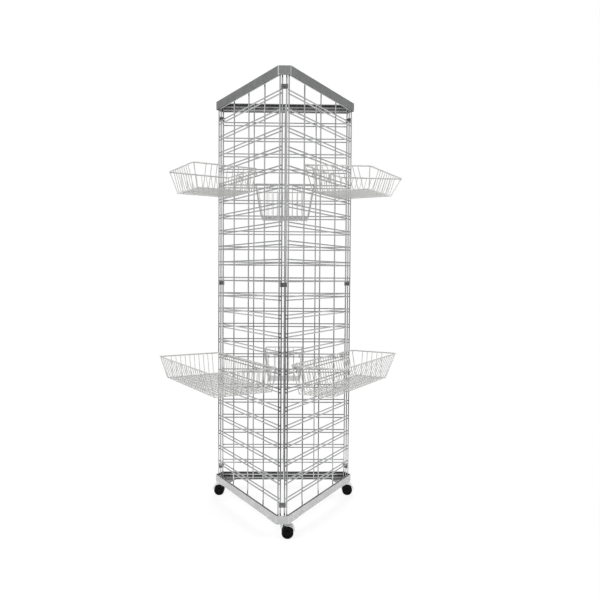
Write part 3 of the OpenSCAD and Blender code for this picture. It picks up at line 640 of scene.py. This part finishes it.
strip = add(tree, "MapRange", SOFT_EDGED, Value=to_strip.outputs["Value"], **KEY_STRIP)
key_strip = add(tree, "Math", PRODUCT, i0=strip.outputs[0], i1=above.outputs[0])
mirrored = side_walls.outputs[0]
for area in (back_wall, overhead, front_box, key_strip):
    mirrored = add(tree, "Math", LARGER, i0=mirrored, i1=area.outputs[0]).outputs[0]
print("world:", world.name, "nodes for what is mirrored:", len(tree.nodes))

# %% [markdown]
# The three kinds of ray now get their own world: the camera and clear things see plain white, mirrors see the
# studio above, and the rest is soft even light. One picture of a studio could serve all three, but then a
# change to the background would change the light too.

# %% Who sees what
SOFT_LIGHT, PLAIN_WHITE = 0.55, 1.0
ray = add(tree, "LightPath")
soft = add(tree, "Background", Color=linear("#ffffff"), Strength=SOFT_LIGHT)
studio = add(tree, "Background", Color=linear("#ffffff"), Strength=mirrored)
plain = add(tree, "Background", Color=linear("#ffffff"), Strength=PLAIN_WHITE)
lit = add(tree, "MixShader", i0=ray.outputs["Is Glossy Ray"], i1=soft.outputs[0], i2=studio.outputs[0])
clear = add(tree, "Math", LARGER, i0=ray.outputs["Is Camera Ray"], i1=ray.outputs["Is Transmission Ray"])
shown = add(tree, "MixShader", i0=clear.outputs[0], i1=lit.outputs[0], i2=plain.outputs[0])
add(tree, "OutputWorld", Surface=shown.outputs[0])
print("soft light:", SOFT_LIGHT, "background:", PLAIN_WHITE)

# %% [markdown]
# ## Lamps
# Three large soft boxes light the tower from both front quarters and from behind. Their own mirror images
# would burn white stripes into every wire, so they are left out of reflections, and the world's bright areas
# stand in for them. Small lamps would be simpler, but they throw hard shadows of every wire.

# %% Lamps
SOFT_BOXES = {
    "key_softbox": {"place": (-3.2, -3.6, 4.2), "aim": (0, 0, 1.0), "size": 2.4, "power": 220},
    "fill_softbox": {"place": (2.4, -1.5, 3.2), "aim": (0, 0, 1.5), "size": 2.0, "power": 75},
    "back_softbox": {"place": (0.6, 3.8, 4.0), "aim": (0, 0, 1.2), "size": 2.4, "power": 130},
}


def soft_box(name, place, aim, size, power):
    """A square area lamp of a size in metres and a power in watts, which mirrors don't show."""
    lamp = bpy.data.lights.new(name, "AREA")
    lamp.energy, lamp.shape, lamp.size = power, "SQUARE", size
    box = bpy.data.objects.new(name, lamp)
    bpy.context.scene.collection.objects.link(box)
    box.location = place
    box.rotation_euler = (Vector(aim) - Vector(place)).to_track_quat("-Z", "Y").to_euler()
    box.visible_glossy = False


for name, facts in SOFT_BOXES.items():
    soft_box(name, **facts)
    print("lamp:", name, "watts:", facts["power"])

# %% [markdown]
# ## Camera
# The camera was placed by fitting the wire crossings of the panels to the picture. It stands about 2.9 m in
# front of the tower's axis at chest height, and looks down a little. A track-to constraint could aim it, but
# would lose the small roll that is part of the fit. So its matrix is built from three angles.

# %% Camera
YAW, PITCH_UP, ROLL = math.radians(1.08), math.radians(-2.196), math.radians(0.367)
CAMERA_PLACE = (0.02015, -2.8858, 1.0910)
SENSOR_MM = 36
FRAME_PIXELS, FOCAL_PIXELS = 600, 617.27
gaze = Vector((math.sin(YAW) * math.cos(PITCH_UP), math.cos(YAW) * math.cos(PITCH_UP), math.sin(PITCH_UP)))
level_right = Vector((math.cos(YAW), -math.sin(YAW), 0))
level_up = level_right.cross(gaze)
right = level_right * math.cos(ROLL) + level_up * math.sin(ROLL)
up = level_up * math.cos(ROLL) - level_right * math.sin(ROLL)
camera_data = bpy.data.cameras.new("photo_camera")
camera_data.sensor_width = SENSOR_MM
camera_data.lens = FOCAL_PIXELS / FRAME_PIXELS * SENSOR_MM
camera = bpy.data.objects.new("photo_camera", camera_data)
bpy.context.scene.collection.objects.link(camera)
camera.matrix_world = Matrix((right, up, -gaze)).transposed().to_4x4()
camera.location = CAMERA_PLACE
bpy.context.scene.camera = camera
bpy.context.scene.view_settings.view_transform = "Standard"
print("camera lens in mm:", round(camera_data.lens, 2))
